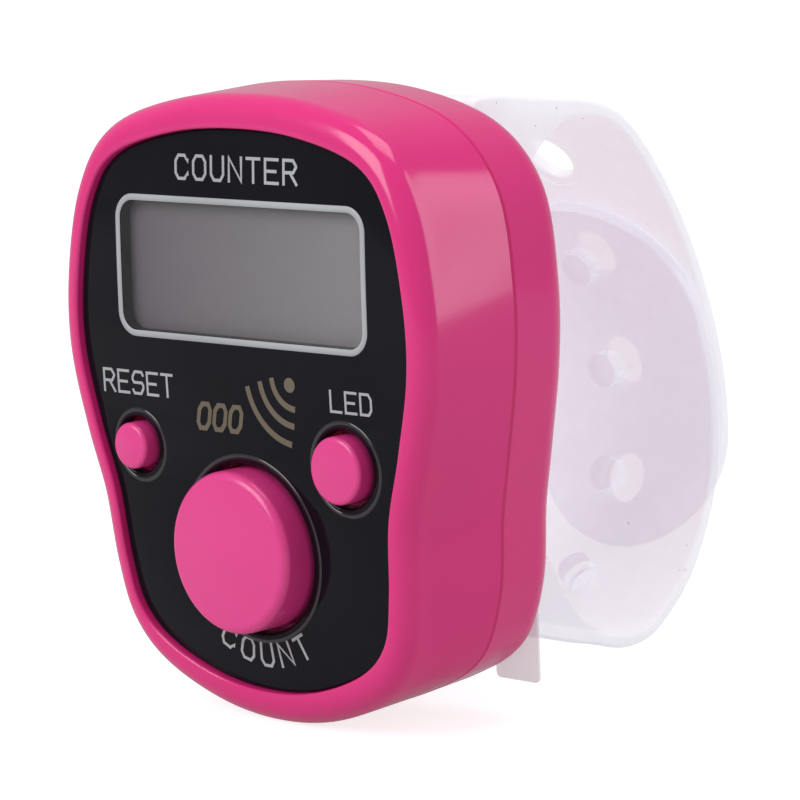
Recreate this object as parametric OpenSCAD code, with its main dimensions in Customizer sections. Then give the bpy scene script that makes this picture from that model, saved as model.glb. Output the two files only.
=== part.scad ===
// Finger-worn digital tally counter: a pear-shaped case with a liquid crystal
// window, three push buttons, two button cells and a finger band that closes on studs.
// +X is the wearer's right seen from the front, -Y faces the reader, +Z is up.
// The origin is the middle of the battery door's flat face, which rests on the finger.

/* [Case] */
// Depth of the case, rim to rear wall
case_d = 12.9; // [12.6:0.1:14]
// Depth at which the two shells part
front_d = 7.4; // [7.1:0.1:7.6]
// Wall thickness of both shells
wall = 1.5; // [1.3:0.1:1.6]
// Width of the rim at the panel's sides
rim_side = 1.65; // [1.6:0.05:2.2]
// Width of the rim at the panel's ends
rim_end = 2.1; // [1.9:0.1:2.6]
// Rounding of the front rim
rim_round = 1.4; // [0.8:0.1:1.5]
// Rounding of the rear edge
rear_round = 2.2; // [1.2:0.1:2.4]

/* [Face] */
// Radius of the face's gentle bow from top to bottom
face_radius = 185; // [170:5:400]
// Thickness of the face panel
panel_t = 0.8; // [0.6:0.1:1]
// How far the rim stands in front of the panel
rim_proud = 0.5; // [0.2:0.1:0.8]
// Width of the display window
window_w = 20.6; // [18:0.2:21]
// Height of the display window
window_h = 8; // [7:0.2:8.4]
// Diameter of the count button
count_dia = 10; // [8:0.2:10.4]
// Diameter of the reset button
reset_dia = 2.9; // [2.8:0.1:4]
// Diameter of the light button
light_dia = 4.1; // [3.4:0.1:4.6]
// How far the count button stands proud of the panel
count_proud = 2.2; // [1.4:0.1:3]
// How far the small buttons stand proud of the panel
small_proud = 0.9; // [0.6:0.1:1.8]
// Gap around each button in its hole
button_gap = 0.3; // [0.15:0.05:0.35]

/* [Battery] */
// Diameter of a cell
cell_dia = 11.6; // [11.4:0.1:11.6]
// Height of a cell
cell_h = 5.3; // [3.6:0.1:5.4]
// Width of the battery door
door_w = 26.6; // [26:0.1:27]
// Height of the battery door
door_h = 14; // [13.6:0.1:14.4]

/* [Band] */
// Width of the finger band
band_w = 16.4; // [12:0.2:16.4]
// Thickness of the finger band
band_t = 0.9; // [0.6:0.1:1]
// Distance between stud holes along the band
stud_pitch = 7.8; // [7.4:0.1:8]
// Diameter of a stud hole
hole_dia = 3.4; // [3:0.1:3.6]
// Diameter of a stud at its foot
stud_dia = 2.3; // [1.8:0.1:2.4]

/* [Hidden] */
$fn = 64;
eps = 0.05;

// Depths along Y, from the front of the rim to the door's face at zero. The front shell
// is thinner behind the panel than at its sides.
door_t = 1.2;
y_rear = -door_t;
y_rim = y_rear - case_d;
y_panel = y_rim + rim_proud;
y_seat = y_panel + panel_t;
front_wall = 0.8;
y_wall = y_seat + front_wall;
y_part = y_rim + front_d;
y_board = y_seat + 4.2;
board_t = 1;
y_board_back = y_board + board_t;
rear_wall = 1.2;
y_cover = y_rear - rear_wall;

// Heights of the face's features, measured from the origin
lcd_z = 6.75;
count_z = -10.2;
small_z = -4.5;

// Sideways places of the buttons, which sit a little left of the panel's middle line
count_x = -0.5;
reset_x = -9.7;
light_x = 8.1;

// How far the bowed face lies behind its foremost height, which is face_z, at height z
face_z = 4;
function bow(z) = pow(z - face_z, 2) / (2 * face_radius);

// Right half of the face panel's outline, top to bottom, about the window's centre
panel_half = [[0, 8.6], [5.4, 8.2], [10.5, 6.7], [12.8, 3.8], [13.9, -1], [14, -5.3],
              [13, -9.9], [11.8, -14.1], [11.3, -18.5], [10.5, -21.6], [8.3, -23.7],
              [4.2, -25.3], [0, -25.8]];
panel_knots = concat(
    [for (p = panel_half) [p[0], p[1] + lcd_z]],
    [for (i = [len(panel_half) - 2 : -1 : 1]) [-panel_half[i][0], panel_half[i][1] + lcd_z]]);

// Point at fraction t of a Catmull-Rom span from b to c
function spline(a, b, c, d, t) =
    0.5 * (2 * b + (c - a) * t + (2 * a - 5 * b + 4 * c - d) * t * t
           + (3 * b - a - 3 * c + d) * t * t * t);
function closed_spline(p, steps) =
    [for (i = [0 : len(p) - 1], k = [0 : steps - 1])
        spline(p[(i + len(p) - 1) % len(p)], p[i], p[(i + 1) % len(p)],
               p[(i + 2) % len(p)], k / steps)];
function open_spline(p, steps) = concat(
    [for (i = [0 : len(p) - 2], k = [0 : steps - 1])
        spline(p[max(i - 1, 0)], p[i], p[i + 1], p[min(i + 2, len(p) - 1)], k / steps)],
    [p[len(p) - 1]]);
function unit(v) = v / norm(v);
// Outward normal of a closed clockwise outline at point i
function normal_at(p, i) =
    let (d = unit(p[(i + 1) % len(p)] - p[(i + len(p) - 1) % len(p)])) [-d[1], d[0]];
function grown(p, side, end) =
    [for (i = [0 : len(p) - 1])
        let (n = normal_at(p, i)) p[i] + n * (side + (end - side) * n[1] * n[1])];

panel_line = closed_spline(panel_knots, 3);
case_line = grown(panel_line, rim_side, rim_end);

// How much wider the case is behind the rim, at each point of the panel's outline
flare_half = [0.1, 0.1, 0.15, 0.65, 0.35, 0.15, 0.45, 0.95, 1.1, 0.65, -0.25, -0.4, -0.2];
flare_line = closed_spline(
    concat(flare_half, [for (i = [len(flare_half) - 2 : -1 : 1]) flare_half[i]]), 3);
function case_at(inset, flared = 0) =
    [for (i = [0 : len(case_line) - 1])
        case_line[i] + normal_at(case_line, i) * (flared * flare_line[i] - inset)];

// Screw places: four for the case and two for the board
case_screw_at = [[8.2, 13.75], [-8.2, 13.75], [7.2, -15.75], [-7.2, -15.75]];
board_screw_at = [[11.6, -0.65], [-11.6, -0.65]];
screw_r = 0.85;
board_screw_r = 0.7;
boss_r = 1.6;
running_gap = 0.05;
function inner_wall(p) = y_wall + bow(p[1]);

// The push buttons: x, z and radius
button_at = [[count_x, count_z, count_dia / 2], [reset_x, small_z, reset_dia / 2],
             [light_x, small_z, light_dia / 2]];

// The liquid crystal glass and the gap round it
lcd_w = 21.8;
lcd_h = 9.4;
lcd_t = 1.2;
y_lcd_front = y_seat + 0.2;
y_lcd = y_lcd_front + lcd_t;
holder_gap = 0.1;
opening_gap = 0.2;

// Band: the surface where its two halves meet, from the upper slot round to the lower
slot_z = 8.75;
slot_gap_x = 0.2;
slot_gap_z = 0.25;
band_knots = [[-3, 8.3], [-1.2, 8.3], [0.6, 8.8], [2.6, 10.6], [4.8, 12.8], [7.2, 14.25],
              [9.6, 14.4], [12.2, 13.5], [15.2, 10.4], [18.1, 5.8], [20.2, 0.8],
              [21.4, -4.2], [21.5, -8.6], [20.5, -12.4], [18.2, -16.4], [15, -19.1],
              [12.6, -19.8], [10.4, -19.6], [8.4, -18.8], [6.5, -17.4], [5, -15.6],
              [3.8, -13.4], [2.4, -11.2], [0.7, -9.6], [-1.2, -9.2], [-3, -9.2]];
band_line = open_spline(band_knots, 3);
function run_to(p, i) = i == 0 ? 0 : run_to(p, i - 1) + norm(p[i] - p[i - 1]);
band_runs = [for (i = [0 : len(band_line) - 1]) run_to(band_line, i)];
band_y = [for (i = [0 : len(band_line) - 1]) [band_runs[i], band_line[i][0]]];
band_z = [for (i = [0 : len(band_line) - 1]) [band_runs[i], band_line[i][1]]];
band_end = band_runs[len(band_runs) - 1];
function band_at(s) = [lookup(s, band_y), lookup(s, band_z)];
function band_out(s) =
    let (d = unit(band_at(s + 0.6) - band_at(s - 0.6))) [-d[1], d[0]];
band_gap = 0.06;
first_stud = 28.9;
upper_split = 17.2;
upper_tip = 49;
lower_tip = 24.7;
lower_split = 60.9;
split_gap = 0.05;
open_holes = 2;
held_studs = 3;
band_step = 0.9;

// Extrudes a face drawn in X and Z between two depths
module slab(y0, y1) {
    translate([0, y1, 0]) rotate([90, 0, 0]) linear_extrude(y1 - y0) children();
}

// Round bar along Y
module bar(x, z, r, y0, y1) {
    translate([x, y1, z]) rotate([90, 0, 0]) cylinder(r = r, h = y1 - y0);
}

module block(x0, x1, y0, y1, z0, z1) {
    translate([x0, y0, z0]) cube([x1 - x0, y1 - y0, z1 - z0]);
}

// Solid through rings of points that mirror left to right; both ends are closed by strips
module loft(rings) {
    n = len(rings[0]);
    last = (len(rings) - 1) * n;
    polyhedron([for (ring = rings, p = ring) p], concat(
        [for (i = [0 : n / 2 - 1]) strip(i, n, 0, false)],
        [for (i = [0 : n / 2 - 1]) strip(i, n, last, true)],
        [for (k = [0 : n : last - n], i = [0 : n - 1]) let (j = (i + 1) % n)
            [k + i, k + n + i, k + n + j]],
        [for (k = [0 : n : last - n], i = [0 : n - 1]) let (j = (i + 1) % n)
            [k + i, k + n + j, k + j]]));
}
function strip(i, n, base, back) =
    let (f = i == 0 ? [0, 1, n - 1]
             : i == n / 2 - 1 ? [i, i + 1, i + 2] : [i, i + 1, n - i - 1, n - i])
    [for (k = [0 : len(f) - 1]) base + f[back ? len(f) - 1 - k : k]];
function flat_ring(line, y) = [for (p = line) [p[0], y, p[1]]];
function bowed_ring(line, y) = [for (p = line) [p[0], y + bow(p[1]), p[1]]];

// Sheet across the whole face that follows its bow, with a flat back if asked
bow_z = [for (z = [-24 : 1.5 : 20.4]) z];
module bowed(y0, y1, flat_back = false) {
    translate([-20, 0, 0]) rotate([90, 0, 90]) linear_extrude(40) polygon(concat(
        [for (z = bow_z) [y0 + bow(z), z]],
        [for (i = [len(bow_z) - 1 : -1 : 0]) [y1 + (flat_back ? 0 : bow(bow_z[i])), bow_z[i]]]));
}

module rounded(w, h, r) {
    polygon([for (q = [0 : 3], a = [0 : 15 : 90])
        let (sx = (q == 0 || q == 3) ? 1 : -1, sz = q < 2 ? 1 : -1)
            [sx * (w / 2 - r) + r * cos(q * 90 + a), sz * (h / 2 - r) + r * sin(q * 90 + a)]]);
}

// ---- Case ----

rim_steps = [0 : 22.5 : 90];
case_draft = 0.2;
lip_h = 0.8;
lip_t = 0.6;
lip_gap = 0.08;

panel_glue = 0.04;
boss_root = 0.25;

// Screws end this far behind the shell's inner wall, and their holes reach a little past
screw_rest = 0.6;
pilot_room = 0.3;

module front_shell() {
    color([0.9, 0.3, 0.57]) difference() {
        union() {
            difference() {
                loft(concat(
                    [for (y = [y_seat + panel_glue, y_rim])
                        bowed_ring(grown(panel_line, running_gap, running_gap), y)],
                    [for (a = rim_steps)
                        bowed_ring(case_at(rim_round * (1 - sin(a))),
                                   y_rim + rim_round * (1 - cos(a)))],
                    [flat_ring(case_at(-case_draft, 1), y_part)]));
                intersection() {
                    slab(y_wall, y_part + 1) polygon(case_at(wall));
                    bowed(y_wall, y_part + 2, true);
                }
            }
            for (p = case_screw_at) bar(p[0], p[1], boss_r, inner_wall(p) - boss_root, y_part);
            for (p = board_screw_at) bar(p[0], p[1], boss_r, inner_wall(p) - boss_root, y_board);
        }
        translate([0, 0, lcd_z]) slab(y_rim, y_wall + 1)
            rounded(lcd_w + 2 * opening_gap, lcd_h + 2 * opening_gap, 0.3);
        for (b = button_at) bar(b[0], b[1], b[2] + button_gap, y_rim, y_wall + 1.5);
        for (p = case_screw_at)
            bar(p[0], p[1], screw_r + running_gap, inner_wall(p) + screw_rest - pilot_room,
                y_part + 1);
        for (p = board_screw_at)
            bar(p[0], p[1], board_screw_r + running_gap, inner_wall(p) + screw_rest - pilot_room,
                y_board + 1);
    }
}

cover_post_r = 2.2;
screw_head_r = 1.5;
screw_head_h = 1;
sink_depth = 1.5;
bay_wall = 0.9;
bay_gap = 0.25;
cell_x = cell_dia / 2 + 0.4;
bay_w = 2 * cell_x + cell_dia + 2 * bay_gap;
bay_h = cell_dia + 2 * bay_gap;
cell_sink = 0.4;
y_cell = y_rear - cell_sink - cell_h;
strip_x = [8.8, 12.3];
strip_z = [-19.1, 4.2];
strip_gap = 0.15;
strip_t = 0.16;
y_strip = y_rear - 0.1;

module back_cover() {
    color([0.86, 0.26, 0.52]) difference() {
        union() {
            difference() {
                loft(concat(
                    [flat_ring(case_at(-case_draft, 1), y_part)],
                    [for (a = [0 : 22.5 : 90])
                        flat_ring(case_at(rear_round * (1 - cos(a)), 1),
                                  y_rear - rear_round * (1 - sin(a)))]));
                slab(y_part - 1, y_cover) polygon(case_at(wall));
            }
            difference() {
                union() {
                    slab(y_part - lip_h, y_part + eps) polygon(case_at(wall + lip_gap));
                    slab(y_part, y_part + lip_h) polygon(case_at(wall - 0.2));
                }
                slab(y_part - lip_h - 1, y_part + 1) polygon(case_at(wall + lip_t));
                for (p = case_screw_at)
                    bar(p[0], p[1], boss_r + 0.2, y_part - 2, y_part);
            }
            for (p = case_screw_at)
                bar(p[0], p[1], cover_post_r, y_part, y_cover + eps);
            slab(y_board_back + 1.1, y_cover + eps)
                rounded(bay_w + 2 * bay_wall, bay_h + 2 * bay_wall, 5);
        }
        slab(y_part - 3, y_rear + 1) rounded(bay_w, bay_h, 4.6);
        for (z = [slot_z, -slot_z])
            block(-band_w / 2 - slot_gap_x, band_w / 2 + slot_gap_x, y_cover - eps, y_rear + 1,
                  z - band_t / 2 - slot_gap_z, z + band_t / 2 + slot_gap_z);
        for (p = case_screw_at) {
            bar(p[0], p[1], screw_r + running_gap, y_part - 1, y_rear + 1);
            bar(p[0], p[1], screw_head_r + 0.1, y_rear - sink_depth, y_rear + 1);
        }
        block(strip_x[0] - strip_gap, strip_x[1] + strip_gap, y_strip - strip_t - strip_gap / 3,
              y_rear + 1, -30, strip_z[1] + strip_gap);
    }
}

module battery_door() {
    color([0.86, 0.26, 0.52]) slab(y_rear, 0) rounded(door_w, door_h, 5.2);
}

module case_screws() {
    color("silver") for (p = case_screw_at) difference() {
        union() {
            bar(p[0], p[1], screw_head_r, y_rear - sink_depth, y_rear - sink_depth + screw_head_h);
            bar(p[0], p[1], screw_r, inner_wall(p) + screw_rest, y_rear - sink_depth + eps);
        }
        for (a = [0, 90])
            translate([p[0], y_rear - sink_depth + screw_head_h, p[1]]) rotate([0, a, 0])
                cube([2, 0.9, 0.4], center = true);
    }
}

// ---- Face and display ----

module face_panel() {
    color([0.1, 0.1, 0.12]) difference() {
        intersection() {
            slab(y_panel, y_seat + 2) polygon(panel_line);
            bowed(y_panel, y_seat);
        }
        translate([0, 0, lcd_z]) slab(y_rim, y_seat + 1) rounded(window_w, window_h, 1.1);
        for (b = button_at) bar(b[0], b[1], b[2] + button_gap, y_rim, y_seat + 3);
    }
}

module lcd_window() {
    color([0.85, 0.9, 0.9, 0.4]) intersection() {
        translate([0, 0, lcd_z]) slab(y_panel, y_seat + 2) rounded(window_w, window_h, 1.1);
        bowed(y_panel, y_seat);
    }
}

lcd_film = 0.2;
guide_h = 7;
guide_t = 1.4;
holder_w = 23.2;
holder_h = 10.6;
connector_h = 1.6;

module lcd_glass() {
    color([0.55, 0.56, 0.55]) block(-lcd_w / 2, lcd_w / 2, y_lcd_front, y_lcd,
                                    lcd_z - lcd_h / 2, lcd_z + lcd_h / 2);
}

// The reflector and the light guide stand above the elastomer strip
guide_top = lcd_z + lcd_h / 2;
guide_right = 9.4;

module lcd_reflector() {
    color([0.8, 0.8, 0.78]) block(-lcd_w / 2, guide_right, y_lcd, y_lcd + lcd_film,
                                  guide_top - guide_h, guide_top);
}

module light_guide() {
    color("white") block(-lcd_w / 2, guide_right, y_lcd + lcd_film,
                         y_lcd + lcd_film + guide_t, guide_top - guide_h, guide_top);
}

module backlight_led() {
    color([0.95, 0.95, 0.8]) block(guide_right + 0.2, guide_right + 1, y_board - 2.2, y_board,
                                   lcd_z - 0.2, lcd_z + 1.4);
}

module elastomer_strip() {
    color([0.25, 0.25, 0.28]) block(-lcd_w / 2 + 0.6, lcd_w / 2 - 0.6, y_lcd, y_board,
                                    lcd_z - lcd_h / 2, lcd_z - lcd_h / 2 + connector_h);
}

module lcd_holder() {
    color([0.9, 0.9, 0.88]) difference() {
        block(-holder_w / 2, holder_w / 2, y_wall + bow(lcd_z + holder_h / 2) + 0.07, y_board,
              lcd_z - holder_h / 2, lcd_z + holder_h / 2);
        block(-lcd_w / 2 - holder_gap, lcd_w / 2 + holder_gap, y_wall - 1, y_board + 1,
              lcd_z - lcd_h / 2 - holder_gap, lcd_z + lcd_h / 2 + holder_gap);
    }
}

// ---- Board ----

module circuit_board() {
    color([0.1, 0.45, 0.25]) difference() {
        slab(y_board, y_board_back) polygon(case_at(wall + 0.6));
        for (p = case_screw_at) bar(p[0], p[1], boss_r + 0.3, y_board - 1, y_board_back + 1);
        for (p = board_screw_at)
            bar(p[0], p[1], board_screw_r + 0.1, y_board - 1, y_board_back + 1);
    }
}

chip_z = 9.6;
part_w = 1.6;
part_h = 0.8;
part_tall = 0.6;

// The driver chip is a bare die under a low blob of resin
module driver_chip() {
    color([0.08, 0.08, 0.08]) translate([0, y_board_back, chip_z]) rotate([-90, 0, 0])
        cylinder(r1 = 3, r2 = 1.8, h = 0.9);
}

module board_parts() {
    color([0.7, 0.65, 0.5]) for (x = [-9.2, -6.9, 6.2, 8.6])
        block(x, x + part_w, y_board_back, y_board_back + part_tall, 9, 9 + part_h);
}

board_head_r = 1.25;
board_head_h = 0.6;

module board_screws() {
    color("silver") for (p = board_screw_at) {
        bar(p[0], p[1], board_head_r, y_board_back, y_board_back + board_head_h);
        bar(p[0], p[1], board_screw_r, inner_wall(p) + screw_rest, y_board_back + eps);
    }
}

// A push switch: square base with a round well, and the plunger that runs in it
count_travel = 0.6;
small_travel = 0.4;
plunger_gap = 0.06;
count_plunger_r = 1.6;
small_plunger_r = 0.8;
flange_t = 0.6;
count_flange_r = count_dia / 2 + 0.8;
reset_flange_r = reset_dia / 2 + 0.8;
light_flange_r = light_dia / 2 + 0.8;

// Depth of a button's flange, just behind the deepest part of the bowed wall over it
function y_flange(z, r) = y_wall + bow(z - r) + 0.1;

module switch_base(x, z, size, base_t, plunger_r) {
    color([0.2, 0.2, 0.22]) difference() {
        block(x - size / 2, x + size / 2, y_board - base_t, y_board, z - size / 2, z + size / 2);
        bar(x, z, plunger_r + plunger_gap, y_board - base_t - 1, y_board - 0.15);
    }
}

module switch_plunger(x, z, plunger_r, travel, flange_r) {
    color([0.85, 0.85, 0.8])
        bar(x, z, plunger_r, y_flange(z, flange_r) + flange_t, y_board - 0.2 - travel);
}

module count_switch() { switch_base(count_x, count_z, 6, 0.9, count_plunger_r); }
module reset_switch() { switch_base(reset_x, small_z, 3.6, 1.1, small_plunger_r); }
module light_switch() { switch_base(light_x, small_z, 3.6, 1.1, small_plunger_r); }

module count_plunger() {
    switch_plunger(count_x, count_z, count_plunger_r, count_travel, count_flange_r);
}
module reset_plunger() {
    switch_plunger(reset_x, small_z, small_plunger_r, small_travel, reset_flange_r);
}
module light_plunger() {
    switch_plunger(light_x, small_z, small_plunger_r, small_travel, light_flange_r);
}

// Turned button: a domed cap with a rounded shoulder over a flange that keeps it in
module push_button(x, z, r, proud, dome, edge, flange_r) {
    foot = y_flange(z, flange_r) + flange_t;
    length = foot - (y_panel + bow(z) - proud);
    side = length - dome - edge;
    color([0.9, 0.3, 0.57]) translate([x, foot, z]) rotate([90, 0, 0])
        rotate_extrude() polygon(concat(
            [[0, 0], [flange_r, 0], [flange_r, flange_t], [r, flange_t]],
            [for (a = [0 : 15 : 90]) [r - edge + edge * cos(a), side + edge * sin(a)]],
            [for (t = [0.75, 0.5, 0.25, 0])
                [(r - edge) * t, side + edge + dome * (1 - t * t)]]));
}

module count_button() {
    push_button(count_x, count_z, count_dia / 2, count_proud, 0.25, 0.6, count_flange_r);
}
module reset_button() {
    push_button(reset_x, small_z, reset_dia / 2, small_proud, 0.1, 0.3, reset_flange_r);
}
module light_button() {
    push_button(light_x, small_z, light_dia / 2, small_proud, 0.1, 0.3, light_flange_r);
}

// ---- Cells, contacts and buzzer ----

// A button cell: the can, and the narrower end that faces the board
module cell(x) {
    color([0.8, 0.8, 0.82]) union() {
        bar(x, 0, cell_dia / 2, y_cell + 0.4, y_cell + cell_h);
        bar(x, 0, cell_dia / 2 - 1, y_cell, y_cell + 0.5);
    }
}
module left_cell() { cell(-cell_x); }
module right_cell() { cell(cell_x); }

module cell_contacts() {
    color([0.8, 0.7, 0.4]) for (x = [-cell_x, cell_x]) {
        block(x - 3, x + 3, y_board_back, y_board_back + 0.3, -1.6, 1.6);
        bar(x, 0, 1, y_board_back + 0.2, y_cell);
    }
}

module contact_bridge() {
    color([0.8, 0.7, 0.4]) block(-8.4, 8.4, y_cell + cell_h, y_rear, -2.5, 2.5);
}

buzzer_z = -14.7;
buzzer_r = 4.4;
buzzer_t = 0.15;
module buzzer_plate() {
    color([0.8, 0.65, 0.3]) bar(0, buzzer_z, buzzer_r, y_cover - buzzer_t, y_cover);
}
module buzzer_ceramic() {
    color([0.9, 0.9, 0.88])
        bar(0, buzzer_z, buzzer_r - 1.2, y_cover - 2 * buzzer_t, y_cover - buzzer_t);
}
module buzzer_leads() {
    color([0.8, 0.5, 0.3]) {
        bar(-2, buzzer_z, 0.2, y_board_back, y_cover - 2 * buzzer_t);
        bar(buzzer_r - 0.6, buzzer_z, 0.2, y_board_back, y_cover - buzzer_t);
    }
}

module pull_strip() {
    color([0.9, 0.92, 0.95, 0.6])
        block(strip_x[0], strip_x[1], y_strip - strip_t, y_strip, strip_z[0], strip_z[1]);
}

// ---- Finger band ----

// Band solid between two runs, from an inner to an outer offset of the meeting surface
module band_piece(s0, s1, inner, outer) {
    n = ceil((s1 - s0) / band_step);
    runs = [for (i = [0 : n]) s0 + (s1 - s0) * i / n];
    translate([-band_w / 2, 0, 0]) rotate([90, 0, 90]) linear_extrude(band_w) polygon(concat(
        [for (s = runs) band_at(s) + outer * band_out(s)],
        [for (i = [n : -1 : 0]) band_at(runs[i]) + inner * band_out(runs[i])]));
}

// Puts its children at run s on the band, with their Z axis pointing out of the band
module on_band(s) {
    n = band_out(s);
    p = band_at(s);
    translate([0, p[0], p[1]]) rotate([-acos(n[1]) * sign(n[0]), 0, 0]) children();
}

// Cuts the band's end to a half circle; side is 1 where the band ends at a higher run
module round_end(s, side) {
    on_band(s - side * band_w / 2) difference() {
        translate([-band_w, side > 0 ? 0 : -2 * band_w, -5])
            cube([2 * band_w, 2 * band_w, 10]);
        translate([0, 0, -6]) cylinder(r = band_w / 2, h = 12);
    }
}

// The bar inside the case that keeps a band half in its slot
module anchor(z) {
    block(-band_w / 2, band_w / 2, y_cover - 1, y_cover - 0.1, z - 1.3, z + 1.3);
}

band_color = [0.93, 0.9, 0.95, 0.5];
slot_run = 0.3;

// Wings that brace the band's roots against the case's back: the corners of each, and
// the run where it meets the band
y_wing = y_rear + 0.1;
upper_wing = [[y_wing, 8.9], [y_wing, 16.1], [-0.8, 16.4], [1.2, 16.4], [5, 16], [9, 15.55]];
upper_wing_run = 16;
lower_wing = [[y_wing, -9.2], [y_wing, -16], [-0.7, -16.5], [3.8, -17.75], [6.8, -18.6]];
lower_wing_run = 61.4;

// Fills the space between a wing's corners and the band, which it meets at mid thickness
module wing(corners, runs, side) {
    translate([-band_w / 2, 0, 0]) rotate([90, 0, 90]) linear_extrude(band_w)
        polygon(concat(corners, [band_at(runs[0]) + max(side, 0) * band_t * band_out(runs[0])],
                       [for (s = runs) band_at(s) + side * band_t / 2 * band_out(s)]));
}

module upper_band_root() {
    color(band_color) difference() {
        union() {
            band_piece(slot_run, upper_split - split_gap, band_gap, band_gap + band_t);
            wing(upper_wing, [for (s = [upper_wing_run : -band_step : 2]) s], 1);
            anchor(slot_z);
        }
        on_band(first_stud - open_holes * stud_pitch) translate([0, 0, -3])
            cylinder(d = hole_dia, h = 9);
    }
}

module upper_band() {
    color(band_color) difference() {
        band_piece(upper_split + split_gap, upper_tip, band_gap, band_gap + band_t);
        for (i = [1 - open_holes : held_studs - 1])
            on_band(first_stud + i * stud_pitch) translate([0, 0, -3])
                cylinder(d = hole_dia, h = 6);
        round_end(upper_tip, 1);
    }
}

module lower_band_root() {
    color(band_color) union() {
        band_piece(lower_split + split_gap, band_end - slot_run, -band_gap - band_t, -band_gap);
        wing(lower_wing, [for (s = [lower_wing_run : band_step : band_end - 2]) s], -1);
        anchor(-slot_z);
    }
}

module lower_band() {
    color(band_color) union() {
        difference() {
            band_piece(lower_tip, lower_split - split_gap, -band_gap - band_t, -band_gap);
            round_end(lower_tip, -1);
        }
        for (i = [0 : held_studs])
            on_band(first_stud + i * stud_pitch) translate([0, 0, -band_gap - 0.4])
                cylinder(d1 = stud_dia, d2 = stud_dia - 0.9, h = band_t + 0.5);
    }
}

front_shell();
back_cover();
face_panel();
lcd_window();
lcd_holder();
lcd_glass();
lcd_reflector();
light_guide();
backlight_led();
elastomer_strip();
circuit_board();
driver_chip();
board_parts();
count_switch();
reset_switch();
light_switch();
board_screws();
case_screws();
left_cell();
right_cell();
cell_contacts();
buzzer_plate();
buzzer_ceramic();
buzzer_leads();
count_button();
count_plunger();
reset_button();
reset_plunger();
light_button();
light_plunger();
battery_door();
contact_bridge();
pull_strip();
upper_band_root();
upper_band();
lower_band_root();
lower_band();
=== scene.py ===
import math

import bmesh
import bpy
import numpy as np
from mathutils import Matrix, Vector


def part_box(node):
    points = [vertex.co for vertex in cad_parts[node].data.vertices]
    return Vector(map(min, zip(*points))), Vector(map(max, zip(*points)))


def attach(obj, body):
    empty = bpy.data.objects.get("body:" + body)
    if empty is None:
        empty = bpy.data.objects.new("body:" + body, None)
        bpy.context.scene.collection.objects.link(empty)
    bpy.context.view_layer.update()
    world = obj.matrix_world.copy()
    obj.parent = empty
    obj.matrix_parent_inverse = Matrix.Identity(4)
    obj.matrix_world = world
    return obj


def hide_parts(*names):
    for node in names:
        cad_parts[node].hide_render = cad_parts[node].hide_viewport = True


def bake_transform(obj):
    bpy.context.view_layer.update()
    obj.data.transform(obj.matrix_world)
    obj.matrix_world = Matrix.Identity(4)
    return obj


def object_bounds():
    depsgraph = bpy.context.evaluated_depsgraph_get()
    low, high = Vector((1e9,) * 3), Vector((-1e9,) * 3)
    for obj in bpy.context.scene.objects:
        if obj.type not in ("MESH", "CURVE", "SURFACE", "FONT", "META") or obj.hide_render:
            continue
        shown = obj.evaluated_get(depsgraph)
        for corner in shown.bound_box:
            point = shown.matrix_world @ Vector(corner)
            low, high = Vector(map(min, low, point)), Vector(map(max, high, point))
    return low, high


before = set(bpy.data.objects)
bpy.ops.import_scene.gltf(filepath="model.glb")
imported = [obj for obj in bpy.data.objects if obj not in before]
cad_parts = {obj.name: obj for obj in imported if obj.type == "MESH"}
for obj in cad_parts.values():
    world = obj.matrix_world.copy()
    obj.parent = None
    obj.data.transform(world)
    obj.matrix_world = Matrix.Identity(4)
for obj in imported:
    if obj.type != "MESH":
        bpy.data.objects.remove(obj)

CAD_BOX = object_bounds()
MM = 0.001
TAU = 2 * math.pi

# ---------------------------------------------------------------- places, from the CAD parts

def box_mm(node):
    """Lowest and highest corner of a CAD node, in millimetres."""
    low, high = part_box(node)
    return np.array(low) / MM, np.array(high) / MM


SHELL_LOW, SHELL_HIGH = box_mm("front_shell")
WINDOW_LOW, WINDOW_HIGH = box_mm("lcd_window")
LCD_LOW, LCD_HIGH = box_mm("lcd_glass")
DOOR_LOW, DOOR_HIGH = box_mm("battery_door")
STRIP_LOW, STRIP_HIGH = box_mm("pull_strip")
CELL_LOW, CELL_HIGH = box_mm("left_cell")

# lengths in millimetres; depths run along y, from the face (low) to the finger (high)
PANEL_T, FRONT_WALL, REAR_WALL, WALL = 0.8, 0.8, 1.2, 1.5
Y_RIM = SHELL_LOW[1]
Y_PART = SHELL_HIGH[1]
Y_PANEL = box_mm("face_panel")[0][1]
Y_SEAT = Y_PANEL + PANEL_T
Y_WALL = Y_SEAT + FRONT_WALL
Y_REAR = box_mm("back_cover")[1][1]
LCD_Z = (WINDOW_LOW[2] + WINDOW_HIGH[2]) / 2
WINDOW_SIZE = (WINDOW_HIGH[0] - WINDOW_LOW[0], WINDOW_HIGH[2] - WINDOW_LOW[2])
WINDOW_CORNER = 1.1

RIM_SIDE, RIM_END = 1.65, 2.1
RIM_ROUND, REAR_ROUND = 1.4, 2.2
DRAFT = 0.2
PART_GROOVE = 0.14
PANEL_GAP = 0.05
FACE_RADIUS, FACE_Z = 185.0, 4.0
BUTTON_GAP = 0.3
FLANGE_EXTRA, FLANGE_T = 0.8, 0.6
# how far a cutter reaches past the face that it starts from
FLUSH = 0.001


def button_place(node):
    """Centre x and z, cap radius and front depth of a push button."""
    low, high = box_mm(node)
    radius = (high[0] - low[0]) / 2 - FLANGE_EXTRA
    return (low[0] + high[0]) / 2, (low[2] + high[2]) / 2, radius, low[1]


BUTTON_BODIES = {"count_button": "count_key", "reset_button": "reset_key",
                 "light_button": "light_key"}
BUTTONS = {node: button_place(node) for node in BUTTON_BODIES}

# ---------------------------------------------------------------- outlines and the band's line

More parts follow.
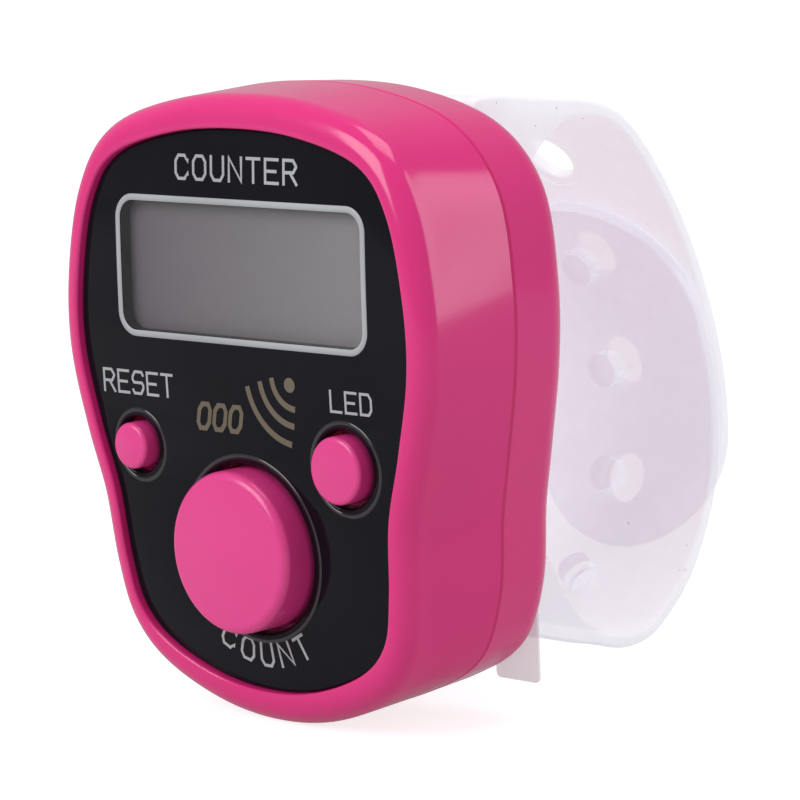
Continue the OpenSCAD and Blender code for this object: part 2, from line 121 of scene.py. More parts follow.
# (x, z) down the right half of the panel's outline, z from the window's middle
PANEL_HALF = [(0, 8.6), (5.4, 8.2), (10.5, 6.7), (12.8, 3.8), (13.9, -1), (14, -5.3), (13, -9.9),
              (11.8, -14.1), (11.3, -18.5), (10.5, -21.6), (8.3, -23.7), (4.2, -25.3), (0, -25.8)]
OUTLINE_STEPS = 10
# how much wider the case is behind its rim, at each point of PANEL_HALF
FLARE_HALF = [0.1, 0.1, 0.15, 0.65, 0.35, 0.15, 0.45, 0.95, 1.1, 0.65, -0.25, -0.4, -0.2]
# (y, z) along the surface where the two band halves meet, from the upper slot to the lower one
BAND_KNOTS = [(-3, 8.3), (-1.2, 8.3), (0.6, 8.8), (2.6, 10.6), (4.8, 12.8), (7.2, 14.25),
              (9.6, 14.4), (12.2, 13.5), (15.2, 10.4), (18.1, 5.8), (20.2, 0.8), (21.4, -4.2),
              (21.5, -8.6), (20.5, -12.4), (18.2, -16.4), (15, -19.1), (12.6, -19.8),
              (10.4, -19.6), (8.4, -18.8), (6.5, -17.4), (5, -15.6), (3.8, -13.4), (2.4, -11.2),
              (0.7, -9.6), (-1.2, -9.2), (-3, -9.2)]


def spline(a, b, c, d, t):
    """Point at fraction t of a Catmull-Rom span from b to c."""
    return 0.5 * (2 * b + (c - a) * t + (2 * a - 5 * b + 4 * c - d) * t * t
                  + (3 * b - a - 3 * c + d) * t ** 3)


def closed_spline(knots, steps):
    """Points of a smooth closed line through the knots, with a number of steps per span."""
    p = np.array(knots, float)
    n = len(p)
    return np.array([spline(p[i - 1], p[i], p[(i + 1) % n], p[(i + 2) % n], k / steps)
                     for i in range(n) for k in range(steps)])


def open_spline(knots, steps):
    """Points of a smooth line from the first knot to the last."""
    p = np.array(knots, float)
    last = len(p) - 1
    inner = [spline(p[max(i - 1, 0)], p[i], p[i + 1], p[min(i + 2, last)], k / steps)
             for i in range(last) for k in range(steps)]
    return np.array(inner + [p[last]])


def normals(line):
    """Unit normals of a closed line, pointing out when it runs clockwise."""
    d = np.roll(line, -1, axis=0) - np.roll(line, 1, axis=0)
    d /= np.linalg.norm(d, axis=1)[:, None]
    return np.stack([-d[:, 1], d[:, 0]], axis=1)


def grown(line, side, end):
    """A closed outline moved out along its normals, by side at the flanks and end at the ends."""
    n = normals(line)
    return line + n * (side + (end - side) * n[:, 1:] ** 2)


def bow(z):
    """How far the gently bowed face lies behind its foremost height, at height z."""
    return (z - FACE_Z) ** 2 / (2 * FACE_RADIUS)


_right = [(x, z + LCD_Z) for x, z in PANEL_HALF]
_left = [(-x, z) for x, z in _right[-2:0:-1]]
PANEL_LINE = closed_spline(_right + _left, OUTLINE_STEPS)
CASE_LINE = grown(PANEL_LINE, RIM_SIDE, RIM_END)
FLARE = closed_spline([(f, 0) for f in FLARE_HALF + FLARE_HALF[-2:0:-1]], OUTLINE_STEPS)[:, :1]
CASE_NORMALS = normals(CASE_LINE)


def case_at(inset, flared=0.0):
    """The case's outline, moved in by inset; flared 1 is its wider outline behind the rim."""
    return CASE_LINE + CASE_NORMALS * (flared * FLARE - inset)


def runs_of(line):
    """Length run along a line at each of its points."""
    return np.r_[0, np.cumsum(np.linalg.norm(np.diff(line, axis=0), axis=1))]


BAND_LINE = open_spline(BAND_KNOTS, 12)
BAND_RUNS = runs_of(BAND_LINE)


def band_at(s):
    """Point (y, z) of the surface where the two band halves meet, at run s."""
    return np.array([np.interp(s, BAND_RUNS, BAND_LINE[:, k]) for k in (0, 1)])


def band_out(s):
    """Unit direction (y, z) away from the finger at run s."""
    d = band_at(s + 0.6) - band_at(s - 0.6)
    d /= np.linalg.norm(d)
    return np.array([-d[1], d[0]])


# band sizes; a gap of BAND_GAP on each side of the meeting surface keeps the halves apart
BAND_W, BAND_T, BAND_GAP = 16.4, 0.9, 0.06
STUD_PITCH, FIRST_STUD = 7.8, 28.9
HOLE_R, HOLE_FLARE, STUD_R, STUD_H = 1.7, 0.22, 1.15, 0.45
DIMPLE = [(1.15, -FLUSH), (1.0, 0.06), (0.86, 0.3), (0.6, 0.5), (0, 0.58)]
UPPER_TIP, LOWER_TIP = 49.0, 24.7
SLOT_Z = 8.75
ANCHOR_DEPTHS = (Y_REAR - 2.2, Y_REAR - 1.3)
# (y, z) along the outer edge of each half's winged root, and the run where the wing ends
Y_WING = Y_REAR + 0.1
UPPER_WING = [(Y_WING, 15.8), (-0.8, 16.35), (1.2, 16.4), (5, 16), (9, 15.55)]
UPPER_WING_RUN = 16.0
LOWER_WING = [(Y_WING, -15.8), (-0.7, -16.45), (3.8, -17.75), (6.8, -18.6)]
LOWER_WING_RUN = 61.4

# ---------------------------------------------------------------- mesh helpers

def add_mesh(name, verts, faces, sharp=35.0):
    """A new object from points in millimetres, smooth apart from edges sharper than an angle."""
    mesh = bpy.data.meshes.new(name)
    mesh.from_pydata([Vector(v) * MM for v in verts], [], faces)
    bm = bmesh.new()
    bm.from_mesh(mesh)
    bmesh.ops.recalc_face_normals(bm, faces=bm.faces)
    bm.to_mesh(mesh)
    bm.free()
    obj = bpy.data.objects.new(name, mesh)
    bpy.context.scene.collection.objects.link(obj)
    shade(obj, sharp)
    return obj


def shade(obj, sharp):
    """Smooth shading, apart from edges sharper than an angle in degrees."""
    obj.data.polygons.foreach_set("use_smooth", [True] * len(obj.data.polygons))
    obj.data.set_sharp_from_angle(angle=math.radians(sharp))


def loft(rings, around=False):
    """Points and faces of a skin over rings of equal size, capped unless it closes on itself."""
    n, m = len(rings[0]), len(rings)
    verts = [tuple(p) for ring in rings for p in ring]
    faces = []
    for k in range(m if around else m - 1):
        a, b = k * n, (k + 1) % m * n
        for i in range(n):
            j = (i + 1) % n
            faces.append((a + i, a + j, b + j, b + i))
    if not around:
        faces += ladder(rings[0], 0) + ladder(rings[-1], (m - 1) * n)
    return verts, faces


def ladder(ring, base):
    """Faces that close a ring; one that mirrors left to right is closed by level strips."""
    n = len(ring)
    for last in (n, n - 1):
        pairs = [(i, (last - i) % n) for i in range((last + 1) // 2 + 1 - (n - last))]
        if n > 12 and all(abs(ring[i][0] + ring[j][0]) + abs(ring[i][2] - ring[j][2]) < 1e-6
                          for i, j in pairs):
            out = []
            for (a, b), (c, d) in zip(pairs, pairs[1:]):
                face = [base + a, base + c, base + d, base + b]
                out.append(tuple(i for k, i in enumerate(face) if i not in face[:k]))
            return [f for f in out if len(f) > 2]
    return [tuple(range(base, base + n))]


def face_ring(line, y):
    """A closed outline in x and z, placed at depth y."""
    return [(x, y, z) for x, z in line]


def join(parts):
    """Several (points, faces) pairs as one."""
    verts, faces = [], []
    for v, f in parts:
        base = len(verts)
        verts += v
        faces += [tuple(base + i for i in face) for face in f]
    return verts, faces


def rounded_rect(w, h, r, steps=8, rungs=0):
    """Clockwise points of a rectangle with round corners, about (0, 0); rungs split its sides."""
    out = []
    cx, cz = w / 2 - r, h / 2 - r
    for q, (sx, sz) in enumerate([(1, 1), (1, -1), (-1, -1), (-1, 1)]):
        for k in range(steps + 1):
            a = math.pi / 2 - q * math.pi / 2 - k * math.pi / 2 / steps
            out.append((sx * cx + r * math.cos(a), sz * cz + r * math.sin(a)))
        if q in (0, 2):
            out += [(sx * w / 2, sz * cz * (1 - 2 * k / (rungs + 1))) for k in range(1, rungs + 1)]
    return np.array(out)


def turned(profile, place, axis_out=(0, -1, 0), steps=96):
    """Points and faces of a turned solid; profile is (radius, height) pairs from axis to axis."""
    axis = Vector(axis_out).normalized()
    side = axis.orthogonal().normalized()
    other = axis.cross(side)
    centre = Vector(place)
    verts, rows = [], []
    for r, h in profile:
        if r < 1e-6:
            rows.append([len(verts)])
            verts.append(tuple(centre + axis * h))
            continue
        rows.append(list(range(len(verts), len(verts) + steps)))
        for k in range(steps):
            a = TAU * k / steps
            verts.append(tuple(centre + axis * h + (side * math.cos(a) + other * math.sin(a)) * r))
    faces = []
    for low, high in zip(rows, rows[1:]):
        for k in range(steps):
            j = (k + 1) % steps
            face = [low[k % len(low)], low[j % len(low)], high[j % len(high)], high[k % len(high)]]
            face = [i for n, i in enumerate(face) if i not in face[:n]]
            if len(face) > 2:
                faces.append(tuple(face))
    return verts, faces


def arc(centre, r, start, stop, steps):
    """Points of an arc, angles in degrees."""
    angles = [math.radians(start + (stop - start) * k / steps) for k in range(steps + 1)]
    return [(centre[0] + r * math.cos(a), centre[1] + r * math.sin(a)) for a in angles]


def quarter(steps):
    """Angles from nothing to a right angle."""
    return [math.pi / 2 * k / steps for k in range(steps + 1)]


def rise(a):
    """Share of an edge's rounding already gained across it, 0 to 1, at angle a."""
    return 1 - math.cos(a)


def fall(a):
    """Share of an edge's rounding still to come, 1 to 0, at angle a."""
    return 1 - math.sin(a)


def cut(obj, parts, operation="DIFFERENCE", sharp=35.0):
    """Cuts (or adds) solids from an object, one after another, and keeps the plain result."""
    for part in parts:
        tool = add_mesh("cutter", *part)
        mod = obj.modifiers.new("cut", "BOOLEAN")
        mod.operation = operation
        mod.solver = "EXACT"
        mod.object = tool
        graph = bpy.context.evaluated_depsgraph_get()
        mesh = bpy.data.meshes.new_from_object(obj.evaluated_get(graph))
        obj.modifiers.clear()
        obj.data = mesh
        bpy.data.objects.remove(tool)
    bm = bmesh.new()
    bm.from_mesh(obj.data)
    bmesh.ops.remove_doubles(bm, verts=bm.verts, dist=1e-7)
    bm.to_mesh(obj.data)
    bm.free()
    obj.data.name = obj.name
    shade(obj, sharp)
    return obj


def bend(obj, whole=None, none=None):
    """Moves points back by the face's bow: all of it up to depth whole, fading out at none."""
    for v in obj.data.vertices:
        y, z = v.co.y / MM, v.co.z / MM
        share = 1.0 if whole is None else min(max((none - y) / (none - whole), 0.0), 1.0)
        v.co.y += bow(z) * share * MM
    obj.data.update()
    return obj


def prism(line, y0, y1):
    """A straight block with a closed outline, between two depths."""
    return loft([face_ring(line, y0), face_ring(line, y1)])


def bevelled_plate(outline_at, y_front, y_back, round_front, steps=5):
    """A plate with a rounded front edge; outline_at(inset) gives its outline."""
    rings = [face_ring(outline_at(round_front * fall(a)), y_front + round_front * rise(a))
             for a in quarter(steps)]
    return loft(rings + [face_ring(outline_at(0), y_back)])


# ---------------------------------------------------------------- materials

def new_material(name):
    """A new material with its nodes, its links and its main shader."""
    mat = bpy.data.materials.new(name)
    mat.use_nodes = True
    nodes = mat.node_tree.nodes
    return mat, nodes, mat.node_tree.links, nodes["Principled BSDF"]


def object_noise(nodes, links, scale, detail=3.0, rough=0.5, stretch=(1, 1, 1)):
    """Noise in object space, as an output socket; scale is in waves per metre."""
    coord = nodes.new("ShaderNodeTexCoord")
    mapping = nodes.new("ShaderNodeMapping")
    mapping.inputs["Scale"].default_value = stretch
    noise = nodes.new("ShaderNodeTexNoise")
    noise.inputs["Scale"].default_value = scale
    noise.inputs["Detail"].default_value = detail
    noise.inputs["Roughness"].default_value = rough
    links.new(coord.outputs["Object"], mapping.inputs["Vector"])
    links.new(mapping.outputs["Vector"], noise.inputs["Vector"])
    return noise.outputs["Fac"]


def drive(nodes, links, source, socket, low, high, first=0.3, last=0.7):
    """Drives a shader input from low to high, colours or plain values, as the source rises."""
    node = nodes.new("ShaderNodeValToRGB")
    for element, place, value in zip(node.color_ramp.elements, (first, last), (low, high)):
        element.position = place
        element.color = (*value, 1) if isinstance(value, tuple) else (value, value, value, 1)
    links.new(source, node.inputs["Fac"])
    links.new(node.outputs["Color"], socket)


def add_bump(nodes, links, shader, source, strength, distance):
    """Fine surface relief; distance is its height in metres."""
    bump = nodes.new("ShaderNodeBump")
    bump.inputs["Strength"].default_value = strength
    bump.inputs["Distance"].default_value = distance
    links.new(source, bump.inputs["Height"])
    links.new(bump.outputs["Normal"], shader.inputs["Normal"])


def plastic(name, dark, light, rough_low, rough_high, grain, bump=0.05, specular=0.5):
    """Moulded plastic: slow colour drift, uneven gloss and a very fine moulded grain."""
    mat, nodes, links, shader = new_material(name)
    drift = object_noise(nodes, links, 90, 2)
    drive(nodes, links, drift, shader.inputs["Base Color"], dark, light)
    fine = object_noise(nodes, links, grain, 4, 0.6)
    drive(nodes, links, fine, shader.inputs["Roughness"], rough_low, rough_high)
    add_bump(nodes, links, shader, fine, bump, 0.00003)
    shader.inputs["Specular IOR Level"].default_value = specular
    return mat


def metal(name, dark, light, rough, stretch):
    """Metal with fine brushed streaks, squeezed along the axes that stretch gives."""
    mat, nodes, links, shader = new_material(name)
    noise = object_noise(nodes, links, 600, 4, stretch=stretch)
    drive(nodes, links, noise, shader.inputs["Base Color"], dark, light)
    drive(nodes, links, noise, shader.inputs["Roughness"], rough * 0.8, rough * 1.25)
    shader.inputs["Metallic"].default_value = 1.0
    return mat


def clear_film(name, colour, alpha, rough):
    """Thin clear plastic that lets straight light through."""
    mat, nodes, links, shader = new_material(name)
    noise = object_noise(nodes, links, 300)
    drive(nodes, links, noise, shader.inputs["Base Color"], tuple(c * 0.96 for c in colour), colour)
    drive(nodes, links, noise, shader.inputs["Roughness"], rough * 0.8, rough * 1.2)
    shader.inputs["Specular IOR Level"].default_value = 0.2
    shader.inputs["Alpha"].default_value = alpha
    return mat


def band_material():
    """Soft translucent moulding: milky, faintly lilac, with small dark specks in the plastic and a
    faint painted glow.
    """
    mat, nodes, links, shader = new_material("band_translucent")
    cloud = object_noise(nodes, links, 220, 4)
    specks = object_noise(nodes, links, 1500, 1)
    mix = nodes.new("ShaderNodeMix")
    mix.data_type = "RGBA"
    drive(nodes, links, specks, mix.inputs["Factor"], 0, 1, 0.80, 0.815)
    drive(nodes, links, cloud, mix.inputs["A"], (0.86, 0.85, 0.91), (0.90, 0.90, 0.95))
    mix.inputs["B"].default_value = (0.16, 0.10, 0.12, 1)
    links.new(mix.outputs["Result"], shader.inputs["Base Color"])
    drive(nodes, links, cloud, shader.inputs["Roughness"], 0.28, 0.42)
    drive(nodes, links, cloud, shader.inputs["Alpha"], 0.53, 0.58, 0.25, 0.75)
    add_bump(nodes, links, shader, cloud, 0.08, 0.0001)
    shader.inputs["Specular IOR Level"].default_value = 0.5
    # painted glow: a faint emission stands in for light scattered inside the milky plastic
    shader.inputs["Emission Color"].default_value = (0.93, 0.92, 1.0, 1)
    shader.inputs["Emission Strength"].default_value = 0.16
    return mat


def display_material():
    """Unlit liquid crystal glass: grey with painted shade, darker towards the left and lighter
    towards the right.
    """
    mat, nodes, links, shader = new_material("display_grey")
    coord = nodes.new("ShaderNodeTexCoord")
    split = nodes.new("ShaderNodeSeparateXYZ")
    links.new(coord.outputs["Object"], split.inputs["Vector"])
    span = nodes.new("ShaderNodeMapRange")
    span.inputs["From Min"].default_value = LCD_LOW[0] * MM
    span.inputs["From Max"].default_value = LCD_HIGH[0] * MM
    links.new(split.outputs["X"], span.inputs["Value"])
    # painted shade: the grey is darker on the left, where the window's edge shades the glass
    drive(nodes, links, span.outputs["Result"], shader.inputs["Base Color"],
          (0.10, 0.082, 0.10), (0.235, 0.225, 0.235), 0.0, 1.0)
    cloud = object_noise(nodes, links, 120, 2)
    drive(nodes, links, cloud, shader.inputs["Roughness"], 0.42, 0.48)
    shader.inputs["Specular IOR Level"].default_value = 0.12
    return mat


SHELL_PINK = plastic("shell_pink", (0.71, 0.022, 0.195), (0.74, 0.026, 0.21),
                     0.13, 0.18, 700, 0.015)
BUTTON_PINK = plastic("button_pink", (0.74, 0.045, 0.25), (0.77, 0.050, 0.265),
                      0.20, 0.27, 500, 0.008)
PANEL_BLACK = plastic("panel_black", (0.004, 0.004, 0.007), (0.006, 0.006, 0.010),
                      0.07, 0.11, 900, 0.02, specular=0.12)
PANEL_GLOSS = plastic("panel_gloss", (0.005, 0.0045, 0.007), (0.007, 0.006, 0.010),
                      0.08, 0.12, 900, 0.02, specular=0.75)
PRINT_SILVER = plastic("print_silver", (0.34, 0.35, 0.37), (0.42, 0.43, 0.45), 0.35, 0.5, 5000)
PRINT_GOLD = plastic("print_gold", (0.118, 0.092, 0.062), (0.145, 0.115, 0.078), 0.35, 0.5, 5000)
DISPLAY = display_material()
WINDOW_CLEAR = clear_film("window_clear", (0.6, 0.6, 0.62), 0.05, 0.04)
STRIP_CLEAR = clear_film("strip_clear", (0.93, 0.91, 0.95), 0.40, 0.12)
BAND = band_material()
WHITE = plastic("white_plastic", (0.70, 0.70, 0.68), (0.80, 0.80, 0.78), 0.4, 0.55, 1500)
ELASTOMER = plastic("elastomer", (0.03, 0.03, 0.035), (0.06, 0.06, 0.065), 0.6, 0.8, 3000)
BOARD_GREEN = plastic("board_green", (0.012, 0.10, 0.035), (0.02, 0.15, 0.055), 0.25, 0.4, 2500)
CHIP_BLACK = plastic("chip_black", (0.012, 0.012, 0.012), (0.025, 0.025, 0.025), 0.35, 0.6, 2500)
STEEL = metal("steel", (0.42, 0.42, 0.43), (0.62, 0.62, 0.63), 0.28, (1, 1, 6))
CELL_STEEL = metal("cell_steel", (0.55, 0.55, 0.56), (0.72, 0.72, 0.72), 0.22, (6, 1, 1))
BRASS = metal("brass", (0.55, 0.38, 0.14), (0.72, 0.52, 0.22), 0.3, (1, 1, 5))


def finish_piece(obj, mat, body, slot, *nodes):
    """Gives a piece its material and its body, and hides the CAD nodes it stands for; slot is not
    used.
    """
    obj.data.materials.clear()
    obj.data.materials.append(mat)
    if body:
        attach(obj, body)
    if nodes:
        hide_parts(*nodes)
    return obj


# ---------------------------------------------------------------- case

def screw_places():
    """The case screws' axes, read from the corners of their shared node."""
    low, high = box_mm("case_screws")
    head, bottom_x = 1.5, 7.2
    top_x, top_z, bottom_z = high[0] - head, high[2] - head, low[2] + head
    return [(top_x, top_z), (-top_x, top_z), (bottom_x, bottom_z), (-bottom_x, bottom_z)]


def make_front_shell():
    """The front half: wide at the parting line, rounded at the rim, with a seat for the panel."""
    lip_round, wall_steps = 0.22, 10
    y_side, y_round = Y_PART - PART_GROOVE, Y_RIM + RIM_ROUND
    rings = [face_ring(case_at(PART_GROOVE - DRAFT, 1), Y_PART)]
    for k in range(wall_steps):
        t = k / wall_steps
        rings.append(face_ring(case_at(-DRAFT * (1 - t), 1 - t), y_side + (y_round - y_side) * t))
    for a in reversed(quarter(12)):
        rings.append(face_ring(case_at(RIM_ROUND * fall(a)), Y_RIM + RIM_ROUND * rise(a)))
    for a in quarter(5):
        gap = PANEL_GAP + lip_round * fall(a)
        rings.append(face_ring(grown(PANEL_LINE, gap, gap), Y_RIM + lip_round * rise(a)))
    rings.append(face_ring(grown(PANEL_LINE, PANEL_GAP, PANEL_GAP), Y_SEAT + 0.04))
    shell = add_mesh("front_shell_skin", *loft(rings))
    room = 0.4
    w, h = LCD_HIGH[0] - LCD_LOW[0] + room, LCD_HIGH[2] - LCD_LOW[2] + room
    opening = rounded_rect(w, h, 0.3) + [0, LCD_Z]
    tools = [prism(case_at(WALL), Y_WALL, Y_PART + 1), prism(opening, Y_RIM, Y_WALL + 0.3)]
    for x, z, r, _front in BUTTONS.values():
        hole = [(0, -0.5), (r + BUTTON_GAP, -0.5), (r + BUTTON_GAP, 2), (0, 2)]
        tools.append(turned(hole, (x, Y_WALL, z)))
    bend(cut(shell, tools), Y_WALL, Y_PART)
    return finish_piece(shell, SHELL_PINK, "case", "shell_plastic", "front_shell")


def make_back_cover():
    """The back half, with its battery bay, band slots, screw sinks and pull strip groove."""
    y_side, y_round = Y_PART + PART_GROOVE, Y_REAR - REAR_ROUND
    rings = [face_ring(case_at(PART_GROOVE - DRAFT, 1), Y_PART)]
    for t in (0, 0.35, 0.7, 1):
        rings.append(face_ring(case_at(-DRAFT * (1 - t), 1), y_side + (y_round - y_side) * t))
    for a in quarter(16)[1:]:
        line = case_at(REAR_ROUND * rise(a), 1)
        rings.append(face_ring(line, y_round + REAR_ROUND * math.sin(a)))
    cover = add_mesh("back_cover_skin", *loft(rings))
    y_in = Y_REAR - REAR_WALL
    bay = rounded_rect(0.5 - 2 * CELL_LOW[0], 2 * CELL_HIGH[2] + 0.5, 4.6)
    tools = [prism(case_at(WALL), Y_PART - 1, y_in), prism(bay, y_in - 0.4, Y_REAR + 1)]
    for z in (SLOT_Z, -SLOT_Z):
        slot_line = rounded_rect(BAND_W + 0.4, BAND_T + 0.5, 0.35) + [0, z]
        tools.append(prism(slot_line, y_in - 0.5, Y_REAR + 1))
    for x, z in screw_places():
        sink = [(0, -1.5), (1.6, -1.5), (1.6, -0.15), (1.85, 0.12), (1.85, 1), (0, 1)]
        tools.append(turned(sink, (x, Y_REAR, z), (0, 1, 0), 48))
    room, groove_h = 0.15, 34
    strip = rounded_rect(STRIP_HIGH[0] - STRIP_LOW[0] + 2 * room, groove_h, 0.2)
    strip = strip + [(STRIP_LOW[0] + STRIP_HIGH[0]) / 2, STRIP_HIGH[2] + room - groove_h / 2]
    tools.append(prism(strip, STRIP_LOW[1] - 0.04, Y_REAR + 1))
    cut(cover, tools)
    return finish_piece(cover, SHELL_PINK, "case", "shell_plastic", "back_cover")


def make_door():
    """The battery door, rounded at its outer edge and cut with three grip grooves."""
    w, h = DOOR_HIGH[0] - DOOR_LOW[0], DOOR_HIGH[2] - DOOR_LOW[2]
    corner, edge, grip_depth = 5.2, 0.45, 0.28

    def outline(inset):
        return rounded_rect(w - 2 * inset, h - 2 * inset, corner - inset, 16)

    rings = [face_ring(outline(0), DOOR_LOW[1])]
    rings += [face_ring(outline(edge * rise(a)), DOOR_HIGH[1] - edge * fall(a)) for a in quarter(8)]
    door = add_mesh("battery_door_skin", *loft(rings))
    grips = []
    for k in range(3):
        line = rounded_rect(0.7, 6 - k * 1.2, 0.34) + [-w / 2 + 2 + 1.3 * k, 0]
        grips.append(prism(line, DOOR_HIGH[1] - grip_depth, DOOR_HIGH[1] + 1))
    cut(door, grips)
    return finish_piece(door, SHELL_PINK, "door", "shell_plastic", "battery_door")


def make_panel():
    """The glossy black panel, with rounded holes for the buttons and a hole for the window."""
    def outline(inset):
        return grown(PANEL_LINE, -inset, -inset)

    panel = add_mesh("face_panel_skin", *bevelled_plate(outline, Y_PANEL, Y_SEAT, 0.12))
    window = rounded_rect(*WINDOW_SIZE, WINDOW_CORNER) + [0, LCD_Z]
    tools = [prism(window, Y_PANEL - 1, Y_SEAT + 1)]
    lip = 0.28
    for x, z, r, _front in BUTTONS.values():
        wall = r + BUTTON_GAP
        profile = [(0, 2), (wall + lip + 0.3, 2), (wall + lip + 0.3, FLUSH)]
        profile += [(wall + lip * fall(a), -lip * rise(a)) for a in quarter(6)]
        profile += [(wall, -2), (0, -2)]
        tools.append(turned(profile, (x, Y_PANEL, z)))
    bend(cut(panel, tools))
    return finish_piece(panel, PANEL_BLACK, "case", "panel_black", "face_panel")


def make_window():
    """The clear window over the display."""
    def outline(inset):
        w, h = WINDOW_SIZE
        line = rounded_rect(w - 2 * inset, h - 2 * inset, WINDOW_CORNER - inset, rungs=8)
        return line + [0, LCD_Z]

    lens = bend(add_mesh("lcd_window_lens", *bevelled_plate(outline, Y_PANEL, Y_SEAT, 0.1, 4)))
    return finish_piece(lens, WINDOW_CLEAR, "case", "window_clear", "lcd_window")


def make_window_trim():
    """The thin silver line around the window, a slightly crowned ring."""
    w, h = WINDOW_SIZE
    rings = []
    for offset, y in ((0.0, 0.02), (0.03, -0.03), (0.2, -0.045), (0.38, -0.03), (0.42, 0.02)):
        line = rounded_rect(w + 2 * offset, h + 2 * offset, WINDOW_CORNER + offset, 10, rungs=8)
        rings.append(face_ring(line + [0, LCD_Z], Y_PANEL + y))
    trim = bend(add_mesh("window_trim", *loft(rings, around=True), sharp=60))
    return finish_piece(trim, PRINT_SILVER, "case", None)


def make_panel_beads():
    """Low glossy beads around the button holes, which catch the light."""
    middle, half, proud, sunk, shift = 0.46, 0.15, 0.05, 0.03, 0.2
    turn = np.linspace(0, TAU, 96, endpoint=False)
    parts = []
    for x, z, r, _front in BUTTONS.values():
        rings = []
        for k in range(9):
            a = math.pi * k / 8
            reach = r + BUTTON_GAP + middle - half * math.cos(a)
            line = [(x + shift + reach * math.cos(b), z + reach * math.sin(b)) for b in turn]
            rings.append(face_ring(line, Y_PANEL + sunk - (proud + sunk) * math.sin(a)))
        parts.append(loft(rings, around=True))
    beads = bend(add_mesh("panel_beads", *join(parts), sharp=60))
    return finish_piece(beads, PANEL_GLOSS, "case", None)


# ---------------------------------------------------------------- buttons

def make_button(node, dome, edge):
    """A push button turned in one piece: flange, cap with a rounded edge, slightly domed face."""
    x, z, r, y_front = BUTTONS[node]
    y_back = box_mm(node)[1][1]
    flange_r, chamfer = r + FLANGE_EXTRA, 0.1
    length = y_back - y_front
    top = length - dome
    profile = [(0, 0), (flange_r - chamfer, 0), (flange_r, chamfer),
               (flange_r, FLANGE_T - chamfer), (flange_r - chamfer, FLANGE_T), (r, FLANGE_T)]
    profile += [(r, FLANGE_T + (top - edge - FLANGE_T) * t) for t in (0.35, 0.7)]
    profile += arc((r - edge, top - edge), edge, 0, 90, 10)
    profile += [((r - edge) * t, top + dome * (1 - t * t)) for t in (0.85, 0.65, 0.45, 0.25)]
    profile += [(0, length)]
    button = add_mesh(node + "_cap", *turned(profile, (x, y_back, z)))
    return finish_piece(button, BUTTON_PINK, BUTTON_BODIES[node], "button_plastic", node)


# ---------------------------------------------------------------- printed marks

# letters on a unit square, as lines of points; C is how much of a corner is cut off
C = 0.24
ROUND = [(1 - C, 1), (1, 1 - C), (1, C), (1 - C, 0), (C, 0), (0, C), (0, 1 - C), (C, 1), (1 - C, 1)]
GLYPHS = {
    "R": [[(0, 0), (0, 1), (1 - C, 1), (1, 1 - C), (1, 0.48 + C), (1 - C, 0.48), (0.1, 0.48)],
          [(0.5, 0.48), (1, 0)]],
    "E": [[(1, 1), (0, 1), (0, 0), (1, 0)], [(0, 0.5), (0.82, 0.5)]],
    "S": [[(1, 0.86), (0.88, 1), (C, 1), (0, 1 - C), (0, 0.5 + C / 2), (C / 2, 0.5),
           (1 - C / 2, 0.5), (1, 0.5 - C / 2), (1, C), (1 - C, 0), (0.12, 0), (0, 0.14)]],
    "T": [[(0, 1), (1, 1)], [(0.5, 1), (0.5, 0)]],
    "L": [[(0, 1), (0, 0), (1, 0)]],
    "D": [[(0, 0), (0, 1), (1 - C, 1), (1, 1 - C), (1, C), (1 - C, 0), (0, 0)]],
    "C": [[(1, 0.8), (1, 1 - C), (1 - C, 1), (C, 1), (0, 1 - C), (0, C), (C, 0), (1 - C, 0), (1, C),
           (1, 0.2)]],
    "O": [ROUND], "0": [ROUND],
    "U": [[(0, 1), (0, C), (C, 0), (1 - C, 0), (1, C), (1, 1)]],
    "N": [[(0, 0), (0, 1), (1, 0), (1, 1)]],
}


PRINT_T, PRINT_STEP, PRINT_SUNK = 0.035, 0.006, 0.02


def stroke(points, width, thick=PRINT_T):
    """Points and faces of a flat printed line along (x, z) points, with mitred corners."""
    closed = len(points) > 2 and np.allclose(points[0], points[-1])
    p = np.array(points[:-1] if closed else points, float)
    d = np.roll(p, -1, axis=0) - p
    d /= np.linalg.norm(d, axis=1)[:, None]
    if not closed:
        d[-1] = d[-2]
    n = np.stack([-d[:, 1], d[:, 0]], axis=1)
    before = np.roll(n, 1, axis=0)
    if not closed:
        before[0] = n[0]
        p[0] -= d[0] * width * 0.5
        p[-1] += d[-1] * width * 0.5
    rings = []
    for q, a, b in zip(p, before, n):
        m = (a + b) / max(1 + float(a @ b), 0.35)
        left, right = q + m * width / 2, q - m * width / 2
        rings.append(face_ring([left, right], Y_PANEL - thick)
                     + face_ring([right, left], Y_PANEL + PRINT_SUNK))
    return loft(rings, around=closed)


def word(text, place, glyph_w, glyph_h, gap, width, slant=0.0):
    """A word in plain strokes; place(x, z) maps the word's own line to the face. Strokes of one
    letter differ in thickness by a step, so that their faces do not coincide."""
    parts = []
    total = len(text) * glyph_w + (len(text) - 1) * gap
    pen = -total / 2
    for letter in text:
        for k, line in enumerate(GLYPHS[letter]):
            points = [place(pen + x * glyph_w + slant * z * glyph_h, z * glyph_h) for x, z in line]
            parts.append(stroke(points, width, PRINT_T - PRINT_STEP * k))
        pen += glyph_w + gap
    return parts


def straight(x0, z0):
    """Maps a word onto a level line about (x0, z0)."""
    return lambda x, z: (x0 + x, z0 + z)


def under_arc(cx, cz, radius):
    """Maps a word onto a circle's lower side, reading from left to right."""
    def place(x, z):
        a = x / radius - math.pi / 2
        return cx + (radius - z) * math.cos(a), cz + (radius - z) * math.sin(a)
    return place


